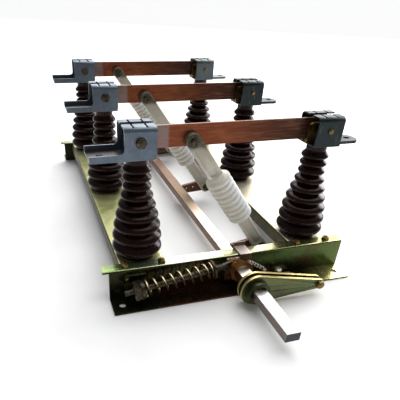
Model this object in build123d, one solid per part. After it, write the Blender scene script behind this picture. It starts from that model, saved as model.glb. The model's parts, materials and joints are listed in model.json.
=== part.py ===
from build123d import *
import os
from math import cos, hypot, radians, sin

# Three-pole knife disconnect switch on a folded steel base frame.
# Millimetres. X runs along the blades from the hinge end to the jaw end, Y runs from the
# operating end (negative) to the rear, Z is up. The origin is the centre of the frame's
# footprint on the floor. Poles are named a, b and c from the operating end to the rear.

# ---- driving sizes -----------------------------------------------------------------------

# layout
pole_pitch = 325.0  # between neighbouring poles
blade_span = 370.0  # hinge pin to the middle of the jaw
pivot_height = 292.5  # hinge pin above the floor
web_offset = 66.0  # outer pole to the outer face of the cross member

# folded cross members and rails
sheet = 3.0
frame_width = 510.0
member_height = 65.0
top_flange = 24.0  # turned inwards, over the rails
bottom_flange = 48.0  # turned outwards, along the floor
flange_lip = 12.0  # top flange beyond the web at the hinge side
rail_width = 92.0
rail_height = 30.0
fold_radius = 4.0  # outside of the folds along the rails and the members' tops
heel_fold_radius = 2.0  # outside of the fold between web and bottom flange
lip_corner = 8.0
foot_hole_radius = 6.5
foot_hole_inset = 20.0  # from the member's end
foot_hole_setback = 24.0  # from the web's outer face

# post insulators
neck_radius = 20.0
shoulder_radius = 27.0  # upper sheds
skirt_radius = 49.0  # lowest shed
shed_count = 9
first_shed_pitch = 15.0
last_shed_pitch = 24.0
first_shed_depth = 8.0
last_shed_depth = 12.0
foot_radius = 38.0
foot_height = 14.0
cap_height = 12.0
drip_lip = 1.0  # lower edge of a shed inside its tip
shed_nose = 0.22  # height of the tip, as a share of the shed's pitch
shed_back = (0.4, 0.62)  # point on a shed's back: share of its depth and of its pitch
skirt_swell = 1.3  # larger keeps more of the upper sheds slim

# blades
blade_height = 39.5
blade_thickness = 5.0
blade_tail = 16.0  # behind the hinge pin
blade_nose = 22.0  # past the middle of the jaw
blade_corner = 6.0

# terminals: folded sheet, rising to a box of spring fingers round each contact
terminal_sheet = 3.0
terminal_half_width = 31.0
pivot_rise = 30.5  # hinge pin above the post's top
box_half_length = 28.5
box_height = 56.0  # above the post's top
box_fold = 9.0  # outer radius where the walls fold over
box_heel = 8.0  # round of the lower corner and of the step down to the channel
blade_clearance = 4.0  # each side of the blade, in the slot along the box's top
finger_gap = 3.5
finger_gap_offset = 12.0
finger_gap_depth = 12.0  # below the box's top
channel_reach = 88.0  # from the hinge pin to the channel's end
channel_wall_height = 12.0
pad_reach = 83.0  # from the middle of the jaw to the pad's end
pad_half_width = 20.0
pad_thickness = 6.0
pad_corner = 14.0
pad_hole_inset = 18.0  # from the pad's end
terminal_hole_radius = 6.5
terminal_hole_inset = 22.0  # from the channel's end

# contact cheeks each side of the blade, and the bolts that hold them
cheek_thickness = 8.0
cheek_corner = 8.0
hinge_cheek_half_length = 16.0
hinge_cheek_height = 38.0
jaw_cheek_half_length = 20.0
jaw_cheek_lead = 34.0  # from the middle of the jaw towards the hinge
jaw_cheek_rise = 12.0  # above the blade's middle line
pin_radius = 6.0
hinge_head_radius = 10.5
jaw_stud_radius = 5.0
jaw_head_radius = 7.0
bolt_head = 7.0
sleeve_wall = 3.0
stud_recess = 1.0  # stud's end behind the cheek's contact face

# pull rods and cranks
rod_eye_reach = 100.0  # hinge pin to the rod's eye, along the blade
rod_eye_drop = 7.5  # the eye sits below the blade's middle line
rod_thickness = 14.0
rod_eye_radius = 14.0
rib_radius = 25.0
rib_core_radius = 20.0
rib_count = 9
rib_pitch = 12.0
rib_start = 92.0  # from the eye
rod_pin_radius = 5.0
crank_radius = 78.0
crank_angle = 6.0  # degrees above level, at rest
crank_thickness = 8.0
crank_width = 22.0
crank_eye_radius = 15.0
collar_length = 6.0  # plain step at each end of the ribs
collar_step = 3.0  # collar inside the ribs' core
rib_flat = (0.2, 0.65, 0.85)  # rib's crest begins, ends and meets the core, shares of the pitch
rod_head = 5.0
rod_head_radius = 9.0
crank_washer = 2.0
crank_washer_radius = 13.0
crank_hole_radius = 3.0
crank_hole_places = (0.2, 0.5)  # shares of the way from the shaft's side to the eye

# main shaft and operating lever
shaft_x = 11.0
shaft_height = 36.0
shaft_width = 28.0
shaft_thickness = 18.0
shaft_front_reach = 217.0  # in front of the front web
shaft_corner = 1.2  # bevel along the bar's edges
journal_step = 1.4  # journal proud of the bar's corners
journal_length = 16.0
journal_window = 4.0  # radial, from the journal to the edge of the web's hole
bearing_thickness = 5.0
bearing_drop = 2.0  # plate's upper edge below the top flange
hook_overlap = 10.0  # hook down the plate
plate_corner = 4.0
bearing_half_width = 28.0
bearing_foot = 8.0  # plate's lower edge above the floor
hook_half_width = 12.5
hook_offset = 12.5  # hook's middle from the shaft's
hook_depth = 30.0  # over the top flange
hook_lip = 9.0  # upturned rear edge
shaft_rear_reach = 6.0  # behind the rear web
lever_plate = 6.0
lever_gap = 8.0
lever_standoff = 17.0  # from the bottom flange's edge to the lever
lever_length = 142.0
lever_angle = -4.0
lever_hub_radius = 31.5
lever_tip_radius = 10.0
lever_boss_length = 13.0  # ring on the shaft in front of the lever
lever_pin_radius = 5.5
lever_pin_head = 5.0
lever_pin_margin = 3.0  # head beyond the pin's radius
lever_pin_tail = 5.0  # behind the rear plate, nut included
hub_wall = 7.0
bar_end_round = 1.0
spring_crank_thickness = 6.0
spring_pin_head = 3.0

# overcentre spring
spring_seat_x = -205.0
spring_seat_height = 34.0
spring_crank_radius = 36.0
spring_crank_angle = 132.0
spring_axis_standoff = 26.0  # guide rod's axis in front of the web
guide_radius = 6.0
guide_overrun = 26.0  # past the seat's swivel
guide_eye_radius = 9.5
guide_eye_thickness = 6.0
guide_neck = (5.0, 12.0)  # round rod begins and flat eye ends, beyond the eye's radius
coil_radius = 14.5
coil_wire_radius = 2.5
coil_turns = 11
coil_start = 45.0  # from the crank pin to the coil's end of the collar
collar_thickness = 4.0
collar_margin = 1.0  # collar beyond the coil
seat_half_depth = 13.0
seat_length = 18.0  # block, along the guide rod
seat_height = 28.0
seat_corner = 3.0
seat_reach = 12.0  # from the swivel to the seat's face
seat_flange = 7.0
seat_radius = 18.0
stud_radius = 6.0
stud_margin = 1.0  # stud's end behind the guide rod's bore
bracket_half_width = 22.0
bracket_half_height = 20.0

# clearances
running_fit = 0.05  # radial, shafts and pins in their bores
crank_play = 4.5  # radial, the pull rod's bolt in the crank's wide hole
face_gap = 0.3  # between faces of bodies that move against each other
washer_gap = 1.0  # beside the pull rods
guide_play = 2.5  # radial, guide rod in its seat

# ---- derived positions -------------------------------------------------------------------

hinge_x = -blade_span / 2
jaw_x = blade_span / 2
web_face = pole_pitch + web_offset
flange_edge = web_face + bottom_flange
rail_top = member_height - sheet
insulator_top = pivot_height - pivot_rise
blade_half = blade_thickness / 2
journal_radius = hypot(shaft_width / 2, shaft_thickness / 2) + journal_step
lever_bore = hypot(shaft_width / 2, shaft_thickness / 2 - shaft_corner) + face_gap
box_top = insulator_top + box_height
wall_inner = terminal_half_width - terminal_sheet
slot_half = blade_half + blade_clearance
cheek_inner = blade_half + face_gap
cheek_outer = cheek_inner + cheek_thickness
heel_top = insulator_top + channel_wall_height
rod_back = blade_half + washer_gap
rod_front = rod_back + rod_thickness
eye_x = hinge_x + rod_eye_reach
eye_z = pivot_height - rod_eye_drop
crank_x = shaft_x + crank_radius * cos(radians(crank_angle))
crank_z = shaft_height + crank_radius * sin(radians(crank_angle))
rod_length = hypot(crank_x - eye_x, crank_z - eye_z)
poles = {"a": -pole_pitch, "b": 0.0, "c": pole_pitch}


# ---- shape helpers -----------------------------------------------------------------------


def past(limits):
    """Limits a little beyond both faces, for a cut right through."""
    low, high = sorted(limits)
    return (low - 1, high + 1)


def block(x, y, z):
    """Box between two limits on each axis."""
    middle = Pos((x[0] + x[1]) / 2, (y[0] + y[1]) / 2, (z[0] + z[1]) / 2)
    return middle * Box(x[1] - x[0], y[1] - y[0], z[1] - z[0])


def rod_y(x, z, radius, y):
    """Round bar along Y."""
    return Pos(x, (y[0] + y[1]) / 2, z) * Rot(90, 0, 0) * Cylinder(radius, y[1] - y[0])


def rod_z(x, y, radius, z):
    """Round bar along Z."""
    return Pos(x, y, (z[0] + z[1]) / 2) * Cylinder(radius, z[1] - z[0])


def upright(origin, along, front):
    """Plane standing across Y: its x runs along the given X-Z direction, it faces the front."""
    return Plane(
        origin=(origin[0], front, origin[1]), x_dir=(along[0], 0, along[1]), z_dir=(0, 1, 0)
    )


def link(start, end, radii, y):
    """Flat link between two X-Z points with a round end at each, between two Y limits."""
    length = hypot(end[0] - start[0], end[1] - start[1])
    along = ((end[0] - start[0]) / length, (end[1] - start[1]) / length)
    plane = upright(start, along, y[0])
    outline = make_hull(
        Circle(radii[0]).edges() + (Pos(length, 0) * Circle(radii[1])).edges()
    )
    return extrude(plane * outline, y[1] - y[0])


def turned(points, axis):
    """Solid of revolution of a closed outline."""
    return revolve(make_face(Polyline(*points, close=True)), axis)


def save(shape, name):
    """Writes one named piece."""
    shape.label = name
    export_step(shape, "parts/" + name + ".step")


os.makedirs("parts", exist_ok=True)

# ---- base frame --------------------------------------------------------------------------


def cross_member(side):
    """Folded Z section across the frame; side is -1 at the operating end and 1 at the rear."""
    half = frame_width / 2
    outer = side * web_face
    inner = side * (web_face - sheet)
    web = block((-half, half), sorted((outer, inner)), (0, member_height))
    top = block(
        (-half - flange_lip, half),
        sorted((outer, side * (web_face - top_flange))),
        (rail_top, member_height),
    )
    foot = block((-half, half), sorted((inner, side * flange_edge)), (0, sheet))
    section = web + top + foot
    bend = section.edges().filter_by(Axis.X).filter_by(
        lambda e: abs(e.center().Y - outer) < 0.1 and abs(e.center().Z - member_height) < 0.1
    )
    section = fillet(bend, fold_radius)
    heel = section.edges().filter_by(Axis.X).filter_by(
        lambda e: abs(e.center().Y - inner) < 0.1 and abs(e.center().Z) < 0.1
    )
    section = fillet(heel, heel_fold_radius)
    section -= rod_y(shaft_x, shaft_height, journal_radius + journal_window, past((outer, inner)))
    hole_y = side * (web_face + foot_hole_setback)
    for x in (-half + foot_hole_inset, half - foot_hole_inset):
        section -= rod_z(x, hole_y, foot_hole_radius, past((0, sheet)))
    lip = section.edges().filter_by(Axis.Z).filter_by(
        lambda e: e.center().X < -half - flange_lip + 0.1
    )
    return fillet(lip, lip_corner)


def rail(x):
    """Channel, web upwards, between the cross members."""
    reach = web_face - sheet
    half = rail_width / 2
    body = block((x - half, x + half), (-reach, reach), (rail_top - rail_height, rail_top))
    top_edges = body.edges().filter_by(Axis.Y).sort_by(Axis.Z)[-2:]
    body = fillet(top_edges, fold_radius)
    body -= block(
        (x - half + sheet, x + half - sheet),
        (-reach - 1, reach + 1),
        (rail_top - rail_height - 1, rail_top - sheet),
    )
    return body


def bearing(side):
    """Flat plate on the web that carries the shaft's journal; the front one hooks over the top."""
    back = -web_face if side < 0 else web_face - sheet
    y = (back - bearing_thickness, back)
    x = (shaft_x - bearing_half_width, shaft_x + bearing_half_width)
    plate = block(x, y, (bearing_foot, rail_top - bearing_drop))
    plate = fillet(plate.edges().filter_by(Axis.Y), plate_corner)
    if side < 0:
        hook_x = (
            shaft_x + hook_offset - hook_half_width,
            shaft_x + hook_offset + hook_half_width,
        )
        hook_z = (member_height, member_height + sheet)
        rear = back + hook_depth
        plate += block(hook_x, y, (rail_top - hook_overlap, hook_z[1]))
        plate += block(hook_x, (y[0], rear), hook_z)
        plate += block(hook_x, (rear - sheet, rear), (hook_z[0], hook_z[1] + hook_lip))
    return plate - rod_y(shaft_x, shaft_height, journal_radius + running_fit, past(y))


save(cross_member(-1), "front_member")
save(cross_member(1), "rear_member")
save(rail(hinge_x), "left_rail")
save(rail(jaw_x), "right_rail")
save(Compound(children=[bearing(-1), bearing(1)]), "shaft_bearings")


# ---- post insulators ---------------------------------------------------------------------


def insulator(x, y):
    """Shedded post: slim upper part that widens into a skirt, on a plain foot."""
    pitch_sum = sum(shed_pitch(k) for k in range(shed_count))
    stretch = (insulator_top - cap_height - rail_top - foot_height) / pitch_sum
    last = (foot_radius, rail_top + foot_height)
    edges = [Line((0, rail_top), (foot_radius, rail_top)), Line((foot_radius, rail_top), last)]
    for k in reversed(range(shed_count)):
        tip = shed_radius(k)
        neck = shed_radius(k - 1) - shed_depth(k) if k > 0 else neck_radius
        low = last[1]
        tall = shed_pitch(k) * stretch
        drip = (tip - drip_lip, low)
        edges.append(Line(last, drip))
        last = (neck, low + tall)
        nose = (tip, low + shed_nose * tall)
        shoulder = (neck + shed_back[0] * (tip - neck), low + shed_back[1] * tall)
        edges.append(Spline(drip, nose, shoulder, last))
    edges.append(Line(last, (neck_radius, insulator_top)))
    edges.append(Line((neck_radius, insulator_top), (0, insulator_top)))
    edges.append(Line((0, insulator_top), (0, rail_top)))
    outline = make_face(Plane.XZ * Wire(edges))
    return Pos(x, y, 0) * revolve(outline, Axis.Z)


def shed_pitch(k):
    """Relative height of one shed, counted from the top."""
    return first_shed_pitch + (last_shed_pitch - first_shed_pitch) * k / (shed_count - 1)


def shed_depth(k):
    """Depth of the groove above one shed."""
    return first_shed_depth + (last_shed_depth - first_shed_depth) * k / (shed_count - 1)


def shed_radius(k):
    """Tip radius of one shed, counted from the top: level at first, then swelling to the skirt."""
    share = max(0.0, (k - 2) / (shed_count - 3))
    swell = sin(radians(90 * share)) ** skirt_swell
    return shoulder_radius + (skirt_radius - shoulder_radius) * swell


for pole, y in poles.items():
    save(insulator(hinge_x, y), "insulator_hinge_" + pole)
    save(insulator(jaw_x, y), "insulator_jaw_" + pole)


# ---- terminals ---------------------------------------------------------------------------


def folded_top(shape, radius):
    """Rounds the two upper edges of a block along X."""
    return fillet(shape.edges().filter_by(Axis.X).sort_by(Axis.Z)[-2:], radius)


def finger_box(x, y, bolt_radius):
    """Folded sheet round a contact: floor, two walls and inturned spring fingers."""
    span = (x - box_half_length, x + box_half_length)
    width = (y - terminal_half_width, y + terminal_half_width)
    box = folded_top(block(span, width, (insulator_top, box_top)), box_fold)
    hollow = block(
        past(span),
        (y - wall_inner, y + wall_inner),
        (insulator_top + terminal_sheet, box_top - terminal_sheet),
    )
    box -= folded_top(hollow, box_fold - terminal_sheet)
    box -= block(past(span), (y - slot_half, y + slot_half), (pivot_height, box_top + 1))
    for offset in (-finger_gap_offset, finger_gap_offset):
        box -= block(
            (x + offset - finger_gap / 2, x + offset + finger_gap / 2),
            (width[0] + box_fold / 2, width[1] - box_fold / 2),
            (box_top - finger_gap_depth, box_top + 1),
        )
    return box - rod_y(x, pivot_height, bolt_radius + running_fit, past(width))


def corners_at(shape, x, z):
    """Edges along Y at one X-Z place."""
    return shape.edges().filter_by(Axis.Y).filter_by(
        lambda e: abs(e.center().X - x) < 0.1 and abs(e.center().Z - z) < 0.1
    )


def hinge_terminal(y):
    """Shallow channel on the post that rises into the box round the hinge contact."""
    start = hinge_x - channel_reach
    along = (start, hinge_x)
    width = (y - terminal_half_width, y + terminal_half_width)
    floor = (insulator_top, insulator_top + terminal_sheet)
    channel = block(along, width, (insulator_top, heel_top))
    channel -= block(past(along), (y - wall_inner, y + wall_inner), (floor[1], heel_top + 1))
    channel -= rod_z(start + terminal_hole_inset, y, terminal_hole_radius, past(floor))
    terminal = finger_box(hinge_x, y, pin_radius) + channel
    terminal = fillet(corners_at(terminal, hinge_x - box_half_length, heel_top), box_heel)
    round_x = hinge_x + box_half_length - box_heel
    round_z = insulator_top + box_heel
    for side in (-1, 1):
        wall = sorted((y + side * wall_inner, y + side * (terminal_half_width + 1)))
        corner = block((round_x, round_x + box_heel + 1), wall, (insulator_top - 1, round_z))
        terminal -= corner - rod_y(round_x, round_z, box_heel, past(wall))
    return terminal


def jaw_terminal(y):
    """Box round the jaw contact and the outgoing pad."""
    thickness = (insulator_top, insulator_top + pad_thickness)
    pad = block(
        (jaw_x + box_half_length - terminal_sheet, jaw_x + pad_reach),
        (y - pad_half_width, y + pad_half_width),
        thickness,
    )
    pad = fillet(pad.edges().filter_by(Axis.Z).sort_by(Axis.X)[-2:], pad_corner)
    pad -= rod_z(jaw_x + pad_reach - pad_hole_inset, y, terminal_hole_radius, past(thickness))
    return finger_box(jaw_x, y, jaw_stud_radius) + pad


def contact_cheeks(y):
    """Copper cheeks pressed on the blade from both sides, two at the hinge and two at the jaw."""
    low = insulator_top + terminal_sheet
    cheeks = []
    for side in (-1, 1):
        faces = sorted((y + side * cheek_inner, y + side * cheek_outer))
        hinge = block(
            (hinge_x - hinge_cheek_half_length, hinge_x + hinge_cheek_half_length),
            faces,
            (low, low + hinge_cheek_height),
        )
        jaw = block(
            (jaw_x - jaw_cheek_lead, jaw_x + jaw_cheek_half_length),
            faces,
            (low, pivot_height + jaw_cheek_rise),
        )
        for cheek, x, radius in ((hinge, hinge_x, pin_radius), (jaw, jaw_x, jaw_stud_radius)):
            cheek = fillet(cheek.edges().filter_by(Axis.Y).sort_by(Axis.Z)[-2:], cheek_corner)
            cheeks.append(cheek - rod_y(x, pivot_height, radius + running_fit, past(faces)))
    return Compound(children=cheeks)


# ---- bolts at the contacts, blades and their pins ----------------------------------------


def hexagon_y(x, z, radius, y):
    """Six-sided bar along Y between two limits."""
    plane = Plane(origin=(x, y[0], z), x_dir=(1, 0, 0), z_dir=(0, 1, 0))
    return extrude(plane * RegularPolygon(radius, 6), y[1] - y[0])


def cross_bolt(x, z, radius, head_radius, y, head_height):
    """Bolt along Y with a six-sided head at the front and a nut at the back."""
    bolt = rod_y(x, z, radius, y)
    bolt += hexagon_y(x, z, head_radius, (y[0], y[0] + head_height))
    return bolt + hexagon_y(x, z, head_radius, (y[1] - head_height, y[1]))


def terminal_bolts(y):
    """Hinge pin right through its box, and a stud from each wall of the jaw box to its cheek."""
    reach = terminal_half_width + face_gap + bolt_head
    pin = cross_bolt(
        hinge_x, pivot_height, pin_radius, hinge_head_radius, (y - reach, y + reach), bolt_head
    )
    bolts = []
    for side in (-1, 1):
        sleeve = sorted((y + side * cheek_outer, y + side * wall_inner))
        pin += rod_y(hinge_x, pivot_height, pin_radius + sleeve_wall, sleeve)
        tip = y + side * (cheek_inner + stud_recess)
        head = sorted((y + side * (terminal_half_width + face_gap), y + side * reach))
        stud = rod_y(jaw_x, pivot_height, jaw_stud_radius, sorted((tip, y + side * reach)))
        stud += rod_y(jaw_x, pivot_height, jaw_stud_radius + sleeve_wall, sleeve)
        stud += hexagon_y(jaw_x, pivot_height, jaw_head_radius, head)
        bolts.append(stud)
    return Compound(children=[pin, *bolts])


def blade(y):
    """Flat copper bar between the cheeks of the hinge and the jaw."""
    limits = (y - blade_half, y + blade_half)
    bar = block(
        (hinge_x - blade_tail, jaw_x + blade_nose),
        limits,
        (pivot_height - blade_height / 2, pivot_height + blade_height / 2),
    )
    bar = fillet(bar.edges().filter_by(Axis.Y), blade_corner)
    for x, z, radius in ((hinge_x, pivot_height, pin_radius), (eye_x, eye_z, rod_pin_radius)):
        bar -= rod_y(x, z, radius + running_fit, past(limits))
    return bar


def rod_bolt(y):
    """Bolt through the blade that the pull rod's eye turns on."""
    front = y - rod_front - washer_gap - rod_head
    back = y + blade_half + face_gap + rod_head
    return cross_bolt(eye_x, eye_z, rod_pin_radius, rod_head_radius, (front, back), rod_head)


for pole, y in poles.items():
    save(hinge_terminal(y), "hinge_terminal_" + pole)
    save(jaw_terminal(y), "jaw_terminal_" + pole)
    save(contact_cheeks(y), "contact_cheeks_" + pole)
    save(terminal_bolts(y), "terminal_bolts_" + pole)
    save(blade(y), "blade_" + pole)
    save(rod_bolt(y), "rod_bolt_" + pole)


# ---- pull rods ---------------------------------------------------------------------------

rod_along = ((crank_x - eye_x) / rod_length, (crank_z - eye_z) / rod_length)


def along_rod(distance, offset=0.0):
    """X-Z point at a distance from the eye along the rod, and an offset square to it."""
    x = eye_x + rod_along[0] * distance - rod_along[1] * offset
    z = eye_z + rod_along[1] * distance + rod_along[0] * offset
    return x, z


def pull_rod(y):
    """Moulded rod: flat arms with round eyes and a ribbed insulating body between them."""
    faces = (y - rod_front, y - rod_back)
    middle = y - (rod_front + rod_back) / 2
    arm = link((eye_x, eye_z), (crank_x, crank_z), (rod_eye_radius, rod_eye_radius), faces)
    stop = rib_start + rib_count * rib_pitch
    collar_radius = rib_core_radius - collar_step
    outline = [
        (rib_start - collar_length, 0),
        (rib_start - collar_length, collar_radius),
        (rib_start, collar_radius),
    ]
    for k in range(rib_count):
        root = rib_start + k * rib_pitch
        outline.append((root, rib_core_radius))
        outline.append((root + rib_flat[0] * rib_pitch, rib_radius))
        outline.append((root + rib_flat[1] * rib_pitch, rib_radius))
        outline.append((root + rib_flat[2] * rib_pitch, rib_core_radius))
    outline += [
        (stop, rib_core_radius),
        (stop, collar_radius),
        (stop + collar_length, collar_radius),
        (stop + collar_length, 0),
    ]
    points = []
    for distance, radius in outline:
        x, z = along_rod(distance, radius)
        points.append((x, middle, z))
    axis = Axis((eye_x, middle, eye_z), (rod_along[0], 0, rod_along[1]))
    rod = arm + turned(points, axis)
    for x, z in ((eye_x, eye_z), (crank_x, crank_z)):
        rod -= rod_y(x, z, rod_pin_radius + running_fit, past(faces))
    return rod


def crank_pin(y):
    """Bolt carried by the pull rod, through the crank's wide hole, with a washer behind."""
    front = y - rod_front - washer_gap - rod_head
    washer_front = y - rod_back + washer_gap + crank_thickness + face_gap
    washer = (washer_front, washer_front + crank_washer)
    limits = (front, washer[1] + rod_head)
    bolt = cross_bolt(crank_x, crank_z, rod_pin_radius, rod_head_radius, limits, rod_head)
    return bolt + rod_y(crank_x, crank_z, crank_washer_radius, washer)


for pole, y in poles.items():
    save(pull_rod(y), "pull_rod_" + pole)
    save(crank_pin(y), "crank_pin_" + pole)


# ---- main shaft, cranks and operating lever ----------------------------------------------

shaft_front = -(web_face + shaft_front_reach)
shaft_rear = web_face + shaft_rear_reach


def main_shaft():
    """Flat bar with a round journal at each bearing and a bare end in front of the lever."""
    bar = block(
        (shaft_x - shaft_width / 2, shaft_x + shaft_width / 2),
        (shaft_front, shaft_rear),
        (shaft_height - shaft_thickness / 2, shaft_height + shaft_thickness / 2),
    )
    bar = chamfer(bar.edges().filter_by(Axis.Y), shaft_corner)
    bar = fillet(bar.faces().sort_by(Axis.Y)[0].edges(), bar_end_round)
    front_journal = -web_face - bearing_thickness / 2
    rear_journal = web_face - sheet - bearing_thickness / 2
    for y in (front_journal, rear_journal):
        limits = (y - journal_length / 2, y + journal_length / 2)
        bar += rod_y(shaft_x, shaft_height, journal_radius, limits)
    return bar


def crank(y):
    """Plate welded to the side of the shaft, with a wide eye for the pull rod's bolt."""
    front = y - rod_back + washer_gap
    limits = (front, front + crank_thickness)
    side_x = shaft_x + shaft_width / 2
    root = (side_x, shaft_height)
    arm = link(root, (crank_x, crank_z), (crank_width / 2, crank_eye_radius), limits)
    arm -= block(
        (side_x - crank_width, side_x),
        past(limits),
        (shaft_height - crank_width, shaft_height + crank_width),
    )
    arm -= rod_y(crank_x, crank_z, rod_pin_radius + crank_play, past(limits))
    for share in crank_hole_places:
        hole_x = side_x + share * (crank_x - side_x)
        hole_z = shaft_height + share * (crank_z - shaft_height)
        arm -= rod_y(hole_x, hole_z, crank_hole_radius, past(limits))
    return arm


lever_back = -(flange_edge + lever_standoff)
lever_front = lever_back - 2 * lever_plate - lever_gap
lever_tip_x = shaft_x + lever_length * cos(radians(lever_angle))
lever_tip_z = shaft_height + lever_length * sin(radians(lever_angle))


def lever_plates():
    """Two equal tapered plates on the shaft, one behind the other."""
    hub = (shaft_x, shaft_height)
    tip = (lever_tip_x, lever_tip_z)
    plates = []
    for start in (lever_back - lever_plate, lever_front):
        limits = (start, start + lever_plate)
        plate = link(hub, tip, (lever_hub_radius, lever_tip_radius), limits)
        plate -= rod_y(*hub, lever_bore, past(limits))
        plate -= rod_y(*tip, lever_pin_radius + running_fit, past(limits))
        plates.append(plate)
    return Compound(children=plates)


def lever_hub():
    """Rings on the shaft, between and in front of the lever plates, and the bolt at their tips."""
    rings = []
    for limits in (
        (lever_front + lever_plate, lever_back - lever_plate),
        (lever_front - lever_boss_length, lever_front),
    ):
        ring = rod_y(shaft_x, shaft_height, lever_bore + hub_wall, limits)
        rings.append(ring - rod_y(shaft_x, shaft_height, lever_bore, past(limits)))
    bolt = cross_bolt(
        lever_tip_x,
        lever_tip_z,
        lever_pin_radius,
        lever_pin_radius + lever_pin_margin,
        (lever_front - bolt_head, lever_back + lever_pin_tail),
        lever_pin_head,
    )
    return Compound(children=[*rings, bolt])


crank_pin_x = shaft_x + spring_crank_radius * cos(radians(spring_crank_angle))
crank_pin_z = shaft_height + spring_crank_radius * sin(radians(spring_crank_angle))
spring_y = -(web_face + spring_axis_standoff)


def spring_crank():
    """Arm on the shaft that the spring's guide rod pushes on, with its pin."""
    back = spring_y + guide_eye_thickness / 2 + face_gap
    limits = (back, back + spring_crank_thickness)
    pin = (crank_pin_x, crank_pin_z)
    arm = link((shaft_x, shaft_height), pin, (lever_bore + hub_wall, guide_eye_radius), limits)
    arm -= rod_y(shaft_x, shaft_height, lever_bore, past(limits))
    head_back = spring_y - guide_eye_thickness / 2 - face_gap
    head = (head_back - spring_pin_head, head_back)
    arm += rod_y(*pin, rod_pin_radius, (head[0], limits[1]))
    return arm + rod_y(*pin, rod_pin_radius + sleeve_wall, head)


save(main_shaft(), "main_shaft")
save(Compound(children=[crank(y) for y in poles.values()]), "shaft_cranks")
save(lever_plates(), "lever_plates")
save(lever_hub(), "lever_hub")
save(spring_crank(), "spring_crank")


# ---- overcentre spring -------------------------------------------------------------------

spring_length = hypot(crank_pin_x - spring_seat_x, crank_pin_z - spring_seat_height)
spring_along = (
    (spring_seat_x - crank_pin_x) / spring_length,
    (spring_seat_height - crank_pin_z) / spring_length,
)


def along_spring(distance):
    """Point on the guide rod's axis at a distance from the crank pin."""
    return (
        crank_pin_x + spring_along[0] * distance,
        spring_y,
        crank_pin_z + spring_along[1] * distance,
    )


def on_spring(radius, start, stop):
    """Round bar along the guide rod's axis."""
    plane = Plane(origin=along_spring(start), z_dir=(spring_along[0], 0, spring_along[1]))
    return extrude(plane * Circle(radius), stop - start)


def guide_rod():
    """Rod with a flat eye on the crank pin and a collar for the spring."""
    half = guide_eye_thickness / 2
    limits = (spring_y - half, spring_y + half)
    pin = (crank_pin_x, crank_pin_z)
    neck = along_spring(guide_eye_radius + guide_neck[1])
    eye = link(pin, (neck[0], neck[2]), (guide_eye_radius, guide_radius), limits)
    eye -= rod_y(*pin, rod_pin_radius + running_fit, past(limits))
    rod = on_spring(guide_radius, guide_eye_radius + guide_neck[0], spring_length + guide_overrun)
    collar_radius = coil_radius + coil_wire_radius + collar_margin
    return eye + rod + on_spring(collar_radius, coil_start - collar_thickness, coil_start)


def toggle_spring():
    """Open coil around the guide rod, from its collar to the seat."""
    first = coil_start + face_gap + coil_wire_radius
    last = spring_length - seat_reach - face_gap - coil_wire_radius
    direction = (spring_along[0], 0, spring_along[1])
    path = Helix(
        (last - first) / coil_turns, last - first, coil_radius, along_spring(first), direction
    )
    section = Plane(origin=path @ 0, z_dir=path % 0) * Circle(coil_wire_radius)
    return sweep(section, path, is_frenet=True)


def spring_seat():
    """Swivelling block that the guide rod slides through, with the disc the spring stands on."""
    centre = (spring_seat_x, spring_seat_height)
    plane = upright(centre, spring_along, spring_y - seat_half_depth)
    body = extrude(plane * Rectangle(seat_length, seat_height), 2 * seat_half_depth)
    body = fillet(body.edges().filter_by(Axis.Y), seat_corner)
    face = spring_length - seat_reach
    body += on_spring(seat_radius, face, face + seat_flange)
    body -= on_spring(guide_radius + guide_play, face - 1, spring_length + seat_length)
    back = spring_y + max(seat_half_depth, seat_radius)
    return body - rod_y(*centre, stud_radius + running_fit, (spring_y, back + 1))


def spring_bracket():
    """Plate on the front web with the stud that the seat swivels on."""
    plate = block(
        (spring_seat_x - bracket_half_width, spring_seat_x + bracket_half_width),
        (-web_face - bearing_thickness, -web_face),
        (spring_seat_height - bracket_half_height, spring_seat_height + bracket_half_height),
    )
    plate = fillet(plate.edges().filter_by(Axis.Y), plate_corner)
    stud_end = spring_y + guide_radius + guide_play + stud_margin
    stud = (stud_end, -web_face - bearing_thickness)
    return plate + rod_y(spring_seat_x, spring_seat_height, stud_radius, stud)


save(guide_rod(), "guide_rod")
save(toggle_spring(), "toggle_spring")
save(spring_seat(), "spring_seat")
save(spring_bracket(), "spring_bracket")
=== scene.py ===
"""Looks for the three-pole disconnect switch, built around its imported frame. Metres."""
import json
import math
from collections import namedtuple

import bmesh
import bpy
from mathutils import Matrix, Vector


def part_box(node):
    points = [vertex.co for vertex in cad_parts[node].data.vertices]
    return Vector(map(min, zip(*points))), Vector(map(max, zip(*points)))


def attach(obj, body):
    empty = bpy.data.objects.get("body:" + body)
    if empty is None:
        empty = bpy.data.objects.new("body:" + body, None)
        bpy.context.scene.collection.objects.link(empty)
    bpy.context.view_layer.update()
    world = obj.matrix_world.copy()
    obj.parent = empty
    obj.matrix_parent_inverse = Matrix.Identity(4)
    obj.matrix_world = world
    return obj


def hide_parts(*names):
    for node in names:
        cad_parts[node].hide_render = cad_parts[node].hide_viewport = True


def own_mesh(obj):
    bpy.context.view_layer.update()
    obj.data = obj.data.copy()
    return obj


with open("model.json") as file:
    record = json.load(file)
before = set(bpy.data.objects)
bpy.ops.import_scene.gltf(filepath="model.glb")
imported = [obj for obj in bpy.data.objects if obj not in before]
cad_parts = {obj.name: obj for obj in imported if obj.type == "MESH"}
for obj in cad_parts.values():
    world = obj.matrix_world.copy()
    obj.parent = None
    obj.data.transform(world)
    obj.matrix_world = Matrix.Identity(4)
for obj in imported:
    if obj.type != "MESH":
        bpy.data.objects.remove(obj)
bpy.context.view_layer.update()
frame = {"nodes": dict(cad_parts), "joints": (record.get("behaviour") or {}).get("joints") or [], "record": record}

MM = 0.001
POLES = "abc"
FRONT = Vector((0, -1, 0))
BACK = Vector((0, 1, 0))
UP = Vector((0, 0, 1))

# ---- places read from the frame ----------------------------------------------------------

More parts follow.
